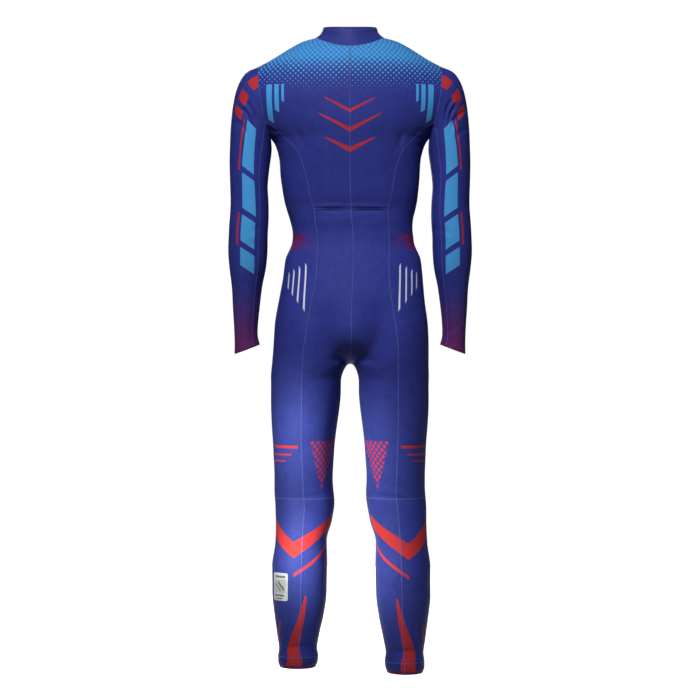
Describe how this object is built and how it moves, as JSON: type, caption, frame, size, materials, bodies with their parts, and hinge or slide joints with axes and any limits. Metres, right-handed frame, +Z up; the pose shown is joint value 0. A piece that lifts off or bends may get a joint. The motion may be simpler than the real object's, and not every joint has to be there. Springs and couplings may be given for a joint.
{
  "type": "ski race suit",
  "caption": "One-piece stretch ski race suit, standing hollow as worn, with a stand collar, front zip, long sleeves and legs that end in narrow hem bands.",
  "frame": {"origin": "centre of the neck, level with the inner ends of the shoulder seams, where the suit hangs on its wearer", "axes": "+Z up, the front of the suit faces -Y, the wearer's left is +X"},
  "size_m": [0.544, 0.248, 1.4356],
  "materials": {
    "suit_cloth": "satin stretch cloth",
    "sleeve_cloth": "satin stretch cloth",
    "calf_cloth": "satin stretch cloth",
    "hem_band": "satin elastic band",
    "zip_tape": "matt woven tape",
    "zip_metal": "satin",
    "label_film": "silver-grey printed film"
  },
  "bodies": {
    "suit": {"front_left": "suit_cloth", "side_left": "suit_cloth", "back_upper_left": "suit_cloth", "back_lower_left": "suit_cloth", "calf_outer_left": "calf_cloth", "calf_inner_left": "calf_cloth", "leg_hem_left": "hem_band", "sleeve_top_left": "sleeve_cloth", "sleeve_under_left": "sleeve_cloth", "front_right": "suit_cloth", "side_right": "suit_cloth", "back_upper_right": "suit_cloth", "back_lower_right": "suit_cloth", "calf_outer_right": "calf_cloth", "calf_inner_right": "calf_cloth", "leg_hem_right": "hem_band", "sleeve_top_right": "sleeve_cloth", "sleeve_under_right": "sleeve_cloth", "collar": "suit_cloth", "zip_tape": "zip_tape", "calf_label": "label_film", "zip_slider": "zip_metal"},
    "pull_tab": {"zip_pull_tab": "zip_metal"}
  },
  "joints": [
    {"name": "pull_tab_hinge", "type": "hinge", "parent": "suit", "child": "pull_tab", "pos_m": [0, -0.06645, -0.0099], "axis": [-1, 0, 0], "range_deg": [0, 170]}
  ]
}
